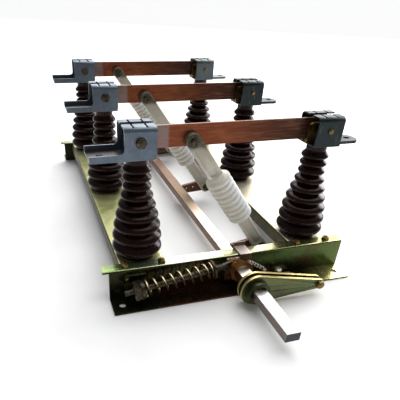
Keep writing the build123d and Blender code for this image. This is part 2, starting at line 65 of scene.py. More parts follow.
joints = {joint["name"]: Vector(joint["pos_m"]) for joint in frame["joints"]}


def middle(node):
    """Centre of a CAD node's box."""
    low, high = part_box(node)
    return (low + high) / 2


def pole_y(pole):
    """Middle plane of a pole."""
    return joints["blade_swing_" + pole].y


def stretch(place, start, stop):
    """Where a tint changes: from one distance to another, in millimetres, beyond a place in the frame."""
    return place + start * MM, place + stop * MM


hinge_x = joints["blade_swing_a"].x
pivot_z = joints["blade_swing_a"].z
jaw_x = middle("insulator_jaw_a").x
middle_x = (hinge_x + jaw_x) / 2
eye = joints["rod_swing_a"]
crank_pin = middle("crank_pin_a")
shaft = joints["shaft_turn"]
spring_pin = joints["guide_swing"]
spring_swivel = joints["seat_swivel"]
front_member_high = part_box("front_member")[1]
web_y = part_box("spring_bracket")[1].y  # front face of the front cross member's web
flange_top = front_member_high.z
rail_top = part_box("left_rail")[1].z
insulator_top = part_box("insulator_jaw_a")[1].z
lever_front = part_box("lever_plates")[0].y
SHEET = 3 * MM


# ---- node materials ----------------------------------------------------------------------


class Paint:
    """One material's node tree, with short calls for the nodes that the materials share."""

    def __init__(self, name):
        self.material = bpy.data.materials.new(name)
        self.material.use_nodes = True
        self.tree = self.material.node_tree
        self.shader = self.tree.nodes["Principled BSDF"]
        self.place = self.tree.nodes.new("ShaderNodeTexCoord")

    def node(self, kind, **settings):
        made = self.tree.nodes.new(kind)
        for key, value in settings.items():
            setattr(made, key, value)
        return made

    def link(self, source, target):
        self.tree.links.new(source, target)

    def set(self, **values):
        """Sets plain numbers and vectors on the shader's own sockets."""
        for key, value in values.items():
            self.shader.inputs[key.replace("_", " ")].default_value = value

    def stretched(self, scale):
        """Object coordinates with each axis scaled."""
        mapping = self.node("ShaderNodeMapping")
        mapping.inputs["Scale"].default_value = scale
        self.link(self.place.outputs["Object"], mapping.inputs["Vector"])
        return mapping.outputs["Vector"]

    def noise(self, scale, detail=4.0, roughness=0.5, stretch=(1, 1, 1), distortion=0.0):
        """Fractal noise from 0 to 1; scale counts features in a metre."""
        made = self.node("ShaderNodeTexNoise")
        made.inputs["Scale"].default_value = scale
        made.inputs["Detail"].default_value = detail
        made.inputs["Roughness"].default_value = roughness
        made.inputs["Distortion"].default_value = distortion
        self.link(self.stretched(stretch), made.inputs["Vector"])
        return made.outputs["Fac"]

    def cells(self, scale):
        """Random value of each Voronoi cell; scale counts cells in a metre."""
        made = self.node("ShaderNodeTexVoronoi")
        made.inputs["Scale"].default_value = scale
        self.link(self.place.outputs["Object"], made.inputs["Vector"])
        return self.split(made.outputs["Color"])[0]

    def split(self, vector):
        made = self.node("ShaderNodeSeparateXYZ")
        self.link(vector, made.inputs[0])
        return made.outputs

    def position(self, axis):
        """Object coordinate along one axis, in metres."""
        return self.split(self.place.outputs["Object"])["XYZ".index(axis)]

    def facing(self, axis):
        """How much the surface faces along an axis, from -1 to 1."""
        return self.split(self.place.outputs["Normal"])["XYZ".index(axis)]

    def math(self, operation, a, b=0.0):
        made = self.node("ShaderNodeMath", operation=operation)
        for socket, value in zip(made.inputs, (a, b)):
            if isinstance(value, (int, float)):
                socket.default_value = value
            else:
                self.link(value, socket)
        return made.outputs[0]

    def span(self, value, low, high, start=0.0, stop=1.0):
        """Maps low..high to start..stop, smoothly and without overshoot."""
        made = self.node("ShaderNodeMapRange", interpolation_type="SMOOTHSTEP")
        self.link(value, made.inputs["Value"])
        for name, number in zip(("From Min", "From Max", "To Min", "To Max"), (low, high, start, stop)):
            made.inputs[name].default_value = number
        return made.outputs["Result"]

    def ramp(self, value, *stops):
        """Colour ramp from (position, colour) pairs."""
        made = self.node("ShaderNodeValToRGB")
        points = made.color_ramp.elements
        while len(points) < len(stops):
            points.new(0.5)
        for point, (position, colour) in zip(points, stops):
            point.position = position
            point.color = (*colour, 1)
        self.link(value, made.inputs["Fac"])
        return made.outputs["Color"]

    def mix(self, share, a, b, blend="MIX"):
        made = self.node("ShaderNodeMix", data_type="RGBA", blend_type=blend)
        for socket, value in ((made.inputs[0], share), (made.inputs[6], a), (made.inputs[7], b)):
            if isinstance(value, tuple):
                socket.default_value = (*value, 1)
            elif isinstance(value, (int, float)):
                socket.default_value = value
            else:
                self.link(value, socket)
        return made.outputs[2]

    def bump(self, height, distance, strength=1.0):
        made = self.node("ShaderNodeBump")
        made.inputs["Distance"].default_value = distance
        made.inputs["Strength"].default_value = strength
        self.link(height, made.inputs["Height"])
        self.link(made.outputs["Normal"], self.shader.inputs["Normal"])

    def lit_top_shaded_sides(self, body, above, low=0.6, high=0.9):
        """Painted light: a shaded body colour on the sides and a lit colour on faces that look up."""
        return self.mix(self.span(self.facing("Z"), low, high), body, above)

    def base(self):
        """The colour that feeds the shader so far."""
        return self.shader.inputs["Base Color"].links[0].from_socket

    def colour(self, value):
        self.link(value, self.shader.inputs["Base Color"])

    def roughness(self, value, low, high):
        self.link(self.span(value, 0.3, 0.7, low, high), self.shader.inputs["Roughness"])


def chromate(name, tones, roughness=0.3, grain=(1, 1, 1)):
    """Yellow-passivated zinc: drifting iridescent tints, fine streaks and small dull stains."""
    paint = Paint(name)
    clouds = paint.noise(9, 3, 0.55, distortion=0.6)
    tint = paint.ramp(clouds, *[(0.3 + 0.4 * i / (len(tones) - 1), tone) for i, tone in enumerate(tones)])
    streaks = paint.noise(260, 3, 0.6, grain)
    tint = paint.mix(paint.span(streaks, 0.35, 0.75, 0.0, 0.35), tint, (0.9, 0.85, 0.6), "MULTIPLY")
    stains = paint.noise(70, 6, 0.7)
    tint = paint.mix(paint.span(stains, 0.6, 0.75, 0.0, 0.5), tint, (0.12, 0.08, 0.05))
    paint.colour(tint)
    paint.set(Metallic=0.9)
    paint.roughness(stains, roughness, roughness + 0.15)
    paint.bump(streaks, 0.05 * MM, 0.5)
    return paint


def zinc_rail(name):
    """Rails: pale straw passivation on top, creamier on the right one, dark olive down the sides; the pale tops
    are painted light from above, the right rail's cream is partly a painted highlight and the dark sides are
    painted shade.
    """
    paint = chromate(name, [(0.03, 0.025, 0.01), (0.06, 0.05, 0.02), (0.035, 0.04, 0.015)], 0.35)
    body = paint.base()
    drifts = paint.noise(14, 4, 0.6, distortion=0.4)
    straw = paint.ramp(drifts, (0.3, (0.42, 0.46, 0.14)), (0.5, (0.62, 0.62, 0.32)), (0.7, (0.56, 0.5, 0.22)))
    cream = paint.ramp(paint.noise(10, 3), (0.3, (0.58, 0.5, 0.34)), (0.7, (0.68, 0.62, 0.48)))
    brighter_right_rail = paint.span(paint.position("X"), *stretch(middle_x, 0, 50))
    # painted light: lit straw tops, a creamier painted highlight on the right rail, sides painted dark as shade
    paint.colour(paint.lit_top_shaded_sides(body, paint.mix(brighter_right_rail, straw, cream)))
    return paint.material


def zinc_hook(name):
    """Bearing plates: brown zinc, with a pale rosy painted highlight on the faces that look up."""
    paint = chromate(name, [(0.07, 0.045, 0.02), (0.14, 0.08, 0.04)], 0.3)
    rosy = paint.ramp(paint.noise(20, 4, 0.6), (0.3, (0.85, 0.68, 0.64)), (0.7, (0.95, 0.84, 0.8)))
    # painted highlight: pale rosy on the faces that look up
    paint.colour(paint.lit_top_shaded_sides(paint.base(), rosy))
    paint.set(Metallic=0.35)
    return paint.material


def zinc_crank(name):
    """Cranks: brown-red tinted zinc."""
    return chromate(name, [(0.07, 0.03, 0.016), (0.12, 0.06, 0.03), (0.08, 0.035, 0.03)], 0.35).material


def contact_copper(name):
    """Bare contact cheeks: brassy where rubbed, brown elsewhere."""
    paint = Paint(name)
    clouds = paint.noise(90, 5, 0.6)
    paint.colour(
        paint.ramp(clouds, (0.3, (0.07, 0.04, 0.014)), (0.55, (0.15, 0.09, 0.03)), (0.75, (0.32, 0.21, 0.08)))
    )
    paint.set(Metallic=0.9)
    paint.roughness(clouds, 0.25, 0.45)
    paint.bump(paint.noise(700, 3, 0.6, (0.1, 1, 1)), 0.04 * MM, 0.5)
    return paint.material


# The cross members' tints along X, before the drifting edge is added; some of them are painted shade and painted
# highlights.
SHADED_LEFT_END = stretch(hinge_x, -35, 125)
RED_STARTS = stretch(hinge_x, 25, 85)
RED_STOPS = stretch(shaft.x, 9, 49)
GREEN_RIGHT = stretch(jaw_x, 15, 115)
GOLD_HIGHLIGHT_END = stretch(jaw_x, -5, 85)
TOP_TINTS_AND_HIGHLIGHT = (hinge_x - 65 * MM, jaw_x + 115 * MM)
DRIFT = 60 * MM
WEB_FOOT = stretch(flange_top, -45, -20)  # height at which the red foot of the front web fades
FRONT_ONLY = stretch(pole_y("a"), 25, 125)  # the red foot is on the front member, not the rear one
FLANGES_PART = stretch(flange_top, -45, -25)  # height between the bottom and top flanges


def zinc_frame(name):
    """The folded members: green, olive and red-brown drifts below, paler straw on the top flange; the faces that
    look up are painted lit and the upright faces are painted dark as shade.
    """
    tones = [(0.022, 0.045, 0.012), (0.07, 0.04, 0.024), (0.05, 0.085, 0.022), (0.065, 0.07, 0.028)]
    paint = chromate(name, tones, 0.16)
    height = paint.position("Z")
    drift = paint.math("ADD", paint.position("X"), paint.math("MULTIPLY", paint.noise(12, 3), DRIFT))
    # painted shade: the left end of the members goes near-black
    body = paint.mix(paint.span(drift, *SHADED_LEFT_END, 0.75, 0.0), paint.base(), (0.01, 0.018, 0.006))
    foot = paint.span(height, *WEB_FOOT, 1.0, 0.0)
    foot = paint.math("MULTIPLY", foot, paint.span(paint.position("Y"), *FRONT_ONLY, 1.0, 0.0))
    red = paint.math("MULTIPLY", paint.span(drift, *RED_STARTS), paint.span(drift, *RED_STOPS, 1.0, 0.0))
    body = paint.mix(paint.math("MULTIPLY", foot, red), body, (0.1, 0.03, 0.012))
    body = paint.mix(paint.span(drift, *GREEN_RIGHT, 0.0, 0.8), body, (0.09, 0.13, 0.035))
    # the pale stops along the top flange are a painted highlight over its straw and green tints
    top = paint.ramp(
        paint.span(drift, *TOP_TINTS_AND_HIGHLIGHT),
        (0.02, (0.22, 0.3, 0.12)),
        (0.2, (0.75, 0.82, 0.6)),
        (0.55, (0.6, 0.6, 0.36)),
        (0.8, (0.3, 0.29, 0.12)),
    )
    top = paint.mix(paint.span(paint.noise(60, 5, 0.6), 0.5, 0.7, 0.0, 0.35), top, (0.35, 0.4, 0.15))
    # painted highlight: the bottom flange turns bright gold towards the jaw end
    bottom = paint.ramp(paint.span(drift, *GOLD_HIGHLIGHT_END), (0.0, (0.04, 0.045, 0.02)), (1.0, (0.8, 0.72, 0.28)))
    bottom = paint.mix(paint.math("MULTIPLY", red, 0.6), bottom, (0.11, 0.04, 0.02))
    above = paint.mix(paint.span(height, *FLANGES_PART), bottom, top)
    # painted light: the flanges' upward faces lit pale, the upright faces shaded dark
    paint.colour(paint.lit_top_shaded_sides(body, above))
    return paint.material


def zinc_lever(name):
    """Lever plates: grey-green faces, with the edges painted bright gold, partly the zinc's yellow and partly a
    painted highlight.
    """
    paint = chromate(name, [(0.07, 0.11, 0.055), (0.12, 0.14, 0.06), (0.09, 0.08, 0.06)], 0.26)
    face = paint.math("ABSOLUTE", paint.facing("Y"))
    # painted highlight: the edges, which do not face along Y, turn bright gold
    paint.colour(paint.mix(paint.span(face, 0.5, 0.9), (0.75, 0.6, 0.25), paint.base()))
    return paint.material


BOX_SIDE = stretch(hinge_x, -34, -28)  # outer side of a hinge box, along X
OVER_FLOOR = stretch(insulator_top, 5, 9)  # height just above a channel's floor
PALER_JAW_X = stretch(middle_x, 0, 20)
PALER_JAW_Y = stretch(pole_y("c"), -125, -45)  # between the middle and the rear pole


def galvanised(name, tone, depth):
    """Blue-grey zinc on the folded clamps: faint spangle, scuffs and brighter rubbed edges, with painted shade on
    the cable channels' floors and a paler tint on the rearmost jaw box.
    """
    paint = Paint(name)
    spangle = paint.cells(180)
    clouds = paint.noise(40, 4, 0.6)
    shade = paint.mix(paint.span(spangle, 0.0, 1.0, 0.0, 0.25), tone, tuple(c * 1.5 for c in tone))
    shade = paint.mix(paint.span(clouds, 0.4, 0.7, 0.0, 0.4), shade, tuple(c * depth for c in tone))
    scratches = paint.noise(700, 2, 0.5, (1, 1, 0.08))
    shade = paint.mix(paint.span(scratches, 0.62, 0.75, 0.0, 0.18), shade, (0.55, 0.6, 0.65))
    # painted shade: dark brown on the floors of the cable channels
    inside = paint.math("MULTIPLY", paint.span(paint.facing("Z"), 0.6, 0.9), shaded_channel_floor(paint))
    shade = paint.mix(inside, shade, (0.045, 0.035, 0.028))
    paint.colour(paint.mix(rear_jaw_paler_tint(paint), shade, (0.11, 0.13, 0.135)))
    paint.set(Metallic=0.75)
    paint.roughness(clouds, 0.3, 0.45)
    paint.bump(scratches, 0.04 * MM, 0.5)
    return paint.material


def shaded_channel_floor(paint):
    """Where painted shade goes: 1 on the floors of the cable channels outside the hinge boxes, 0 elsewhere."""
    outside = paint.span(paint.position("X"), *BOX_SIDE, 1.0, 0.0)
    return paint.math("MULTIPLY", outside, paint.span(paint.position("Z"), *OVER_FLOOR, 1.0, 0.0))


def rear_jaw_paler_tint(paint):
    """Share of a paler tint on the rearmost jaw box."""
    jaw_side = paint.span(paint.position("X"), *PALER_JAW_X)
    return paint.math("MULTIPLY", jaw_side, paint.span(paint.position("Y"), *PALER_JAW_Y, 0.0, 0.7))


JAW_BROWNING = stretch(jaw_x, -250, -40)
TIN_EDGE = stretch(hinge_x, 58, 64)
TIN_RAGGED = 8 * MM


def copper_blade(name):
    """Rolled copper bar: tinned at the hinge end, browner and darker towards the jaw."""
    paint = Paint(name)
    along = paint.position("X")
    clouds = paint.noise(24, 5, 0.6, (1, 1, 2.5))
    rolled = paint.noise(420, 3, 0.6, (0.06, 1, 1))
    copper = paint.ramp(
        clouds, (0.3, (0.11, 0.028, 0.01)), (0.5, (0.165, 0.045, 0.017)), (0.72, (0.26, 0.08, 0.034))
    )
    copper = paint.mix(paint.span(along, *JAW_BROWNING), copper, (0.035, 0.014, 0.009))
    ragged = paint.math("ADD", along, paint.math("MULTIPLY", clouds, TIN_RAGGED))
    tinned = paint.span(ragged, *TIN_EDGE, 1.0, 0.0)
    tin = paint.ramp(clouds, (0.35, (0.16, 0.095, 0.08)), (0.7, (0.26, 0.2, 0.19)))
    copper = paint.mix(tinned, copper, tin)
    copper = paint.mix(paint.span(rolled, 0.45, 0.7, 0.0, 0.22), copper, (0.42, 0.18, 0.1))
    spots = paint.noise(150, 6, 0.75)
    copper = paint.mix(paint.span(spots, 0.62, 0.72, 0.0, 0.6), copper, (0.05, 0.025, 0.02))
    paint.colour(copper)
    paint.set(Metallic=0.85)
    paint.roughness(clouds, 0.32, 0.5)
    paint.bump(rolled, 0.05 * MM, 0.6)
    return paint.material


def glaze(name):
    """Dark maroon post resin: glossy, with a dusty bloom and fine pitting, and a painted highlight on the sides
    that face along X.
    """
    paint = Paint(name)
    clouds = paint.noise(30, 5, 0.65)
    tone = paint.ramp(
        clouds, (0.3, (0.003, 0.001, 0.001)), (0.6, (0.01, 0.0025, 0.002)), (0.8, (0.024, 0.006, 0.005))
    )
    # painted highlight on the sides that face along X
    lit = paint.span(paint.facing("X"), 0.5, 0.95, 0.0, 0.8)
    paint.colour(paint.mix(lit, tone, (0.07, 0.026, 0.023)))
    paint.set(Coat_Weight=0.06, Coat_Roughness=0.1, Specular_IOR_Level=0.16, Specular_Tint=(1, 0.72, 0.68, 1))
    paint.roughness(clouds, 0.14, 0.3)
    paint.bump(paint.noise(900, 3, 0.6), 0.03 * MM, 0.4)
    return paint.material


ROD_DROP = eye.z - crank_pin.z
RIBS_FOOT = (eye.z - 0.73 * ROD_DROP, eye.z - 0.7 * ROD_DROP)
RIBS_HEAD = (eye.z - 0.32 * ROD_DROP, eye.z - 0.29 * ROD_DROP)
SHADED_UPPER_ARM = stretch(eye.z, -70, -16)
SHADED_LOWER_ARM = stretch(crank_pin.z, -5, 40)
SHADED_EYE = stretch(eye.z, -20, -8)


def moulded(name):
    """Cream translucent moulding, yellower where it is thick, with a painted highlight on the ribs and painted
    shade on the arms and round the upper eye.
    """
    paint = Paint(name)
    clouds = paint.noise(35, 4, 0.6)
    tone = paint.ramp(clouds, (0.3, (0.6, 0.55, 0.44)), (0.55, (0.7, 0.66, 0.58)), (0.8, (0.76, 0.73, 0.68)))
    height = paint.position("Z")
    ribs = paint.math("MULTIPLY", paint.span(height, *RIBS_FOOT), paint.span(height, *RIBS_HEAD, 1.0, 0.0))
    # painted highlight: the ribs whiten on their sides that face along X
    lit = paint.math("MULTIPLY", ribs, paint.span(paint.facing("X"), -0.2, 0.6))
    tone = paint.mix(lit, tone, (0.88, 0.93, 1.0))
    # painted shade: olive-dark on the upper and lower arms
    top = paint.span(height, *SHADED_UPPER_ARM, 0.0, 0.5)
    low = paint.span(height, *SHADED_LOWER_ARM, 0.65, 0.0)
    tone = paint.mix(paint.math("MAXIMUM", top, low), tone, (0.26, 0.23, 0.14))
    # painted shade round the upper eye
    tone = paint.mix(paint.span(height, *SHADED_EYE), tone, (0.085, 0.075, 0.045))
    paint.colour(tone)
    paint.set(Subsurface_Weight=0.25, Subsurface_Scale=6 * MM, Subsurface_Radius=(1.0, 0.8, 0.6))
    paint.roughness(clouds, 0.3, 0.45)
    paint.bump(paint.noise(420, 3, 0.6), 0.06 * MM, 0.4)
    return paint.material


BAR_BARE = stretch(lever_front, 6, 16)  # the bar is bare steel in front of this
BAR_REFLECTION = web_y + 31 * MM  # middle of the painted reflection along its top
BAR_REFLECTION_FADES = (80 * MM, 300 * MM)  # away from that middle
BAR_BROWNS = (pole_y("a") + 75 * MM, pole_y("b") + 100 * MM)


def bare_bar(name):
    """Shaft: bright bare steel in front of the lever, chromated and pinkish behind it, with a painted reflection
    along its top and painted shade on its front end face and on its side facing -X.
    """
    paint = chromate(name, [(0.22, 0.12, 0.06), (0.4, 0.32, 0.2), (0.3, 0.14, 0.09)], 0.3, (1, 0.05, 1))
    along = paint.position("Y")
    streaks = paint.noise(500, 3, 0.6, (1, 0.05, 1))
    ground = paint.ramp(streaks, (0.3, (0.3, 0.29, 0.275)), (0.7, (0.44, 0.43, 0.405)))
    tint = paint.mix(paint.span(along, *BAR_BARE, 1.0, 0.0), paint.base(), ground)
    # painted shade on the front end face
    shaded_end_face = paint.span(paint.facing("Y"), -0.9, -0.6, 1.0, 0.0)
    tint = paint.mix(shaded_end_face, tint, (0.045, 0.05, 0.058))
    tint = paint.mix(paint.span(along, *BAR_BROWNS), tint, (0.14, 0.07, 0.035))
    # painted reflection: a pale band along the top of the bar
    reach = paint.math("ABSOLUTE", paint.math("ADD", along, -BAR_REFLECTION))
    pale = paint.span(reach, *BAR_REFLECTION_FADES, 1.0, 0.0)
    pale = paint.math("MULTIPLY", pale, paint.span(paint.facing("Z"), 0.5, 0.9))
    tint = paint.mix(pale, tint, (0.8, 0.74, 0.66), "SCREEN")
    shade = paint.span(paint.facing("X"), -0.9, -0.6, 1.0, 0.0)
    paint.colour(paint.mix(paint.math("MULTIPLY", shade, 0.7), tint, (0.09, 0.035, 0.025)))
    return paint.material


def dark_bolt(name):
    """Bronze-dark plated bolt steel with rubbed corners."""
    paint = Paint(name)
    clouds = paint.noise(220, 4, 0.6)
    paint.colour(
        paint.ramp(
            clouds, (0.35, (0.025, 0.02, 0.013)), (0.6, (0.075, 0.06, 0.04)), (0.75, (0.24, 0.21, 0.16))
        )
    )
    paint.set(Metallic=0.9)
    paint.roughness(clouds, 0.25, 0.45)
    paint.bump(paint.noise(1500, 2, 0.5), 0.03 * MM, 0.5)
    return paint.material


def gold_zinc(name):
    """Yellow zinc on nuts and small hardware."""
    return chromate(name, [(0.06, 0.04, 0.012), (0.2, 0.14, 0.045), (0.07, 0.04, 0.02)], 0.2).material


def spring_wire(name):
    """Toggle spring: dark zinc with a pale gold painted highlight on the faces that look up; its dark undersides
    are partly painted shade.
    """
    paint = chromate(name, [(0.03, 0.022, 0.008), (0.06, 0.045, 0.015)], 0.25)
    # painted highlight on top, shaded dark below
    paint.colour(paint.lit_top_shaded_sides(paint.base(), (0.9, 0.72, 0.42), 0.35, 0.85))
    return paint.material


# Every material by name; those with a CAD slot's name serve the nodes in that slot.
MATERIALS = {
    "frame_zinc": zinc_frame("frame_zinc"),
    "insulator_glaze": glaze("insulator_glaze"),
    "hinge_boxes": galvanised("hinge_boxes", (0.1, 0.125, 0.155), 0.8),
    "jaw_boxes": galvanised("jaw_boxes", (0.013, 0.019, 0.02), 1.8),
    "contact_copper": contact_copper("contact_copper"),
    "blade_copper": copper_blade("blade_copper"),
    "bolt_steel": dark_bolt("bolt_steel"),
    "rod_plastic": moulded("rod_plastic"),
    "lever_zinc": zinc_lever("lever_zinc"),
    "spring_wire": spring_wire("spring_wire"),
    # near-white: its brightness is partly a painted highlight, as glints on the return spring and the lever stop
    "bright_zinc": chromate("bright_zinc", [(0.85, 0.7, 0.62), (0.95, 0.88, 0.82)], 0.25).material,
    "shaft_bar": bare_bar("shaft_bar"),
    "rail_zinc": zinc_rail("rail_zinc"),
    "crank_zinc": zinc_crank("crank_zinc"),
    "gold_bolt": gold_zinc("gold_bolt"),
    "orange_zinc": chromate("orange_zinc", [(0.2, 0.07, 0.015), (0.3, 0.13, 0.03)], 0.25).material,
    "dark_zinc": chromate("dark_zinc", [(0.03, 0.04, 0.015), (0.06, 0.06, 0.03)], 0.3).material,
    "hook_zinc": zinc_hook("hook_zinc"),
}

# CAD nodes that wear something more particular than their slot's material, by the start of their names.
NODE_MATERIALS = {
    "hinge_terminal_": "hinge_boxes",
    "jaw_terminal_": "jaw_boxes",
    "left_rail": "rail_zinc",
    "right_rail": "rail_zinc",
    "main_shaft": "shaft_bar",
    "shaft_cranks": "crank_zinc",
    "guide_rod": "bolt_steel",
    "spring_seat": "bolt_steel",
    "spring_crank": "orange_zinc",
    "shaft_bearings": "hook_zinc",
}
SLOTS = {part["node"]: part["material_slot"] for part in frame["record"]["subparts"]}

for node, shown in frame["nodes"].items():
    chosen = SLOTS[node]
    for prefix, name in NODE_MATERIALS.items():
        if node.startswith(prefix):
            chosen = name
    shown.data.materials.clear()
    shown.data.materials.append(MATERIALS[chosen])


# ---- mesh helpers ------------------------------------------------------------------------


def finished(name, mesh, material, body, *replaced, sharp=35):
    """Makes an object of a bmesh, smooth-shaded up to an angle, riding on a CAD body."""
    bmesh.ops.recalc_face_normals(mesh, faces=mesh.faces)
    data = bpy.data.meshes.new(name)
    mesh.to_mesh(data)
    mesh.free()
    data.shade_smooth()
    data.set_sharp_from_angle(angle=math.radians(sharp))
    data.materials.append(MATERIALS[material])
    shown = bpy.data.objects.new(name, data)
    bpy.context.scene.collection.objects.link(shown)
    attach(shown, body)
    if replaced:
        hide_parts(*replaced)
    return shown


def skin(mesh, loops, closed=False):
    """Joins equal rings of points with quads and caps the two ends, or joins the last to the first."""
    rings = [[mesh.verts.new(point) for point in loop] for loop in loops]
    pairs = list(zip(rings, rings[1:]))
    if closed:
        pairs.append((rings[-1], rings[0]))
    for first, second in pairs:
        for i in range(len(first)):
            j = (i + 1) % len(first)
            mesh.faces.new((first[i], first[j], second[j], second[i]))
    if not closed:
        mesh.faces.new(rings[0])
        mesh.faces.new(rings[-1])


def turned(mesh, place, axis, profile, flat=None, segments=32, closed=False):
    """Solid of revolution of (radius, height) points; flat cuts it to a hexagon that far from the axis."""
    basis = axis.to_track_quat("Z", "Y").to_matrix()
    loops = []
    for radius, height in profile:
        loop = []
        for i in range(segments):
            angle = 2 * math.pi * i / segments
            reach = radius
            if flat:
                reach = min(radius, flat / math.cos(angle % (math.pi / 3) - math.pi / 6))
            spot = Vector((reach * math.cos(angle), reach * math.sin(angle), height))
            loop.append(place + basis @ spot)
        loops.append(loop)
    skin(mesh, loops, closed)


def pin(mesh, place, axis, radius, length):
    """Plain round bar."""
    turned(mesh, place, axis, [(radius, 0), (radius, length)])


def washer(mesh, place, axis, radius, thickness):
    """Washer with a chamfered rim; like hexagon, it returns the place on top of it."""
    edge = 0.25 * thickness
    turned(mesh, place, axis, [(radius, 0), (radius, thickness - edge), (radius - edge, thickness)])
    return place + axis * thickness


def hexagon(mesh, place, axis, flat, height):
    """Bolt head or nut with its outer corners turned off."""
    corner = flat / math.cos(math.pi / 6)
    profile = [(corner, 0), (corner, height - 0.6 * (corner - flat)), (0.96 * flat, height)]
    turned(mesh, place, axis, profile, flat, segments=48)
    return place + axis * height


THREAD_PITCH = 1.5 * MM
THREAD_DEPTH = 0.45 * MM


def stud(mesh, place, axis, radius, length):
    """Threaded end: fine ridges and a turned-off tip."""
    turns = max(1, int((length - THREAD_PITCH) / THREAD_PITCH))
    profile = [(radius, 0)]
    for k in range(turns):
        profile.append((radius, (k + 0.15) * THREAD_PITCH))
        profile.append((radius - THREAD_DEPTH, (k + 0.5) * THREAD_PITCH))
        profile.append((radius, (k + 0.85) * THREAD_PITCH))
    profile.append((radius, turns * THREAD_PITCH))
    profile.append((0.8 * radius, length))
    turned(mesh, place, axis, profile, segments=24)


NUT_WASHER = 1.6 * MM
Nut = namedtuple("Nut", "flat height thread washer proud")  # flat, thread and washer are from the axis


def nut(mesh, place, axis, size):
    """Washer, nut and the bolt's threaded end beyond it."""
    place = washer(mesh, place, axis, size.washer, NUT_WASHER)
    stud(mesh, hexagon(mesh, place, axis, size.flat, size.height), axis, size.thread, size.proud)


# ---- bolts at the contacts ---------------------------------------------------------------

PIN = 6 * MM  # hinge pin
HINGE_NUT = Nut(flat=8.4 * MM, height=4 * MM, thread=4.6 * MM, washer=9.6 * MM, proud=1.8 * MM)
JAW_STUD = 5 * MM
JAW_STUD_INNER = 4 * MM  # the studs stop this far from the blade's middle
JAW_HEAD, JAW_HEAD_HEIGHT = 4.6 * MM, 2.6 * MM
JAW_END, JAW_END_LENGTH = 2.6 * MM, 2 * MM
SLEEVE = 3 * MM  # wall of the spacers inside the boxes
CHEEK_FACE = 10.8 * MM  # outer face of the cheeks, from the blade's middle
BOX_WALL = 31 * MM  # outer face of the boxes' walls, from the blade's middle


def terminal_hardware(pole):
    """Hinge pin with its nuts, and the jaw's studs, with the spacers inside the boxes."""
    hinge = bmesh.new()
    jaw = bmesh.new()
    hinge_middle = Vector((hinge_x, pole_y(pole), pivot_z))
    jaw_middle = Vector((jaw_x, pole_y(pole), pivot_z))
    inner = BOX_WALL - SHEET
    pin(hinge, hinge_middle + BACK * BOX_WALL, FRONT, PIN, 2 * BOX_WALL)
    for axis in (FRONT, BACK):
        for mesh, place, radius in ((hinge, hinge_middle, PIN), (jaw, jaw_middle, JAW_STUD)):
            spacer = [(radius, CHEEK_FACE), (radius + SLEEVE, CHEEK_FACE)]
            spacer += [(radius + SLEEVE, inner), (radius, inner)]
            turned(mesh, place, axis, spacer, closed=True)
        nut(hinge, hinge_middle + axis * BOX_WALL, axis, HINGE_NUT)
        pin(jaw, jaw_middle + axis * JAW_STUD_INNER, axis, JAW_STUD, BOX_WALL - JAW_STUD_INNER)
        head = hexagon(jaw, jaw_middle + axis * BOX_WALL, axis, JAW_HEAD, JAW_HEAD_HEIGHT)
        stud(jaw, head, axis, JAW_END, JAW_END_LENGTH)
    finished("hinge_pin_shown_" + pole, hinge, "bolt_steel", "root", "terminal_bolts_" + pole)
    finished("jaw_studs_shown_" + pole, jaw, "gold_bolt", "root")


for pole in POLES:
    terminal_hardware(pole)


# ---- pull rods ---------------------------------------------------------------------------

ROD_HALF = 7 * MM  # half the arms' thickness
ROD_EYE = 14 * MM
ROD_RIM = 4.5 * MM  # flat rim round the arms' grooves
GROOVE_HALF = 2.6 * MM  # half the thickness left between the grooves
GROOVE_SLOPE = 2 * MM
GROOVE_EASE = 0.6 * MM
ARM_EASE = 1.2 * MM  # rounding of the arms' outer edges, and its inset halfway round
ARM_EASE_MIDDLE = 0.35 * MM
ARM_OVERLAP = 8 * MM  # how far the arms run into the ribbed body
GROOVE_TO_EYE = 21 * MM
GROOVE_TO_BODY = 16 * MM
BOSS, BOSS_HEIGHT, BOSS_EASE = 12.5 * MM, 0.7 * MM, 0.6 * MM
RIB_START = 92 * MM
RIB_PITCH = 12 * MM
RIB_COUNT = 9
RIB_STEPS = 12  # rings of points for each rib
RIB_RADIUS = 25 * MM
RIB_CORE = 19 * MM
RIBS_END = RIB_START + RIB_COUNT * RIB_PITCH
COLLAR = 17 * MM
COLLAR_LENGTH = 6 * MM
COLLAR_EASE = 1.5 * MM


def stadium(start, stop, radius, count=48):
    """Points of a slot outline: (along, across) round two ends."""
    points = []
    for i in range(count):
        angle = 2 * math.pi * (i + 0.5) / count - math.pi / 2
        end = stop if i < count / 2 else start
        points.append((end + radius * math.cos(angle), radius * math.sin(angle)))
    return points


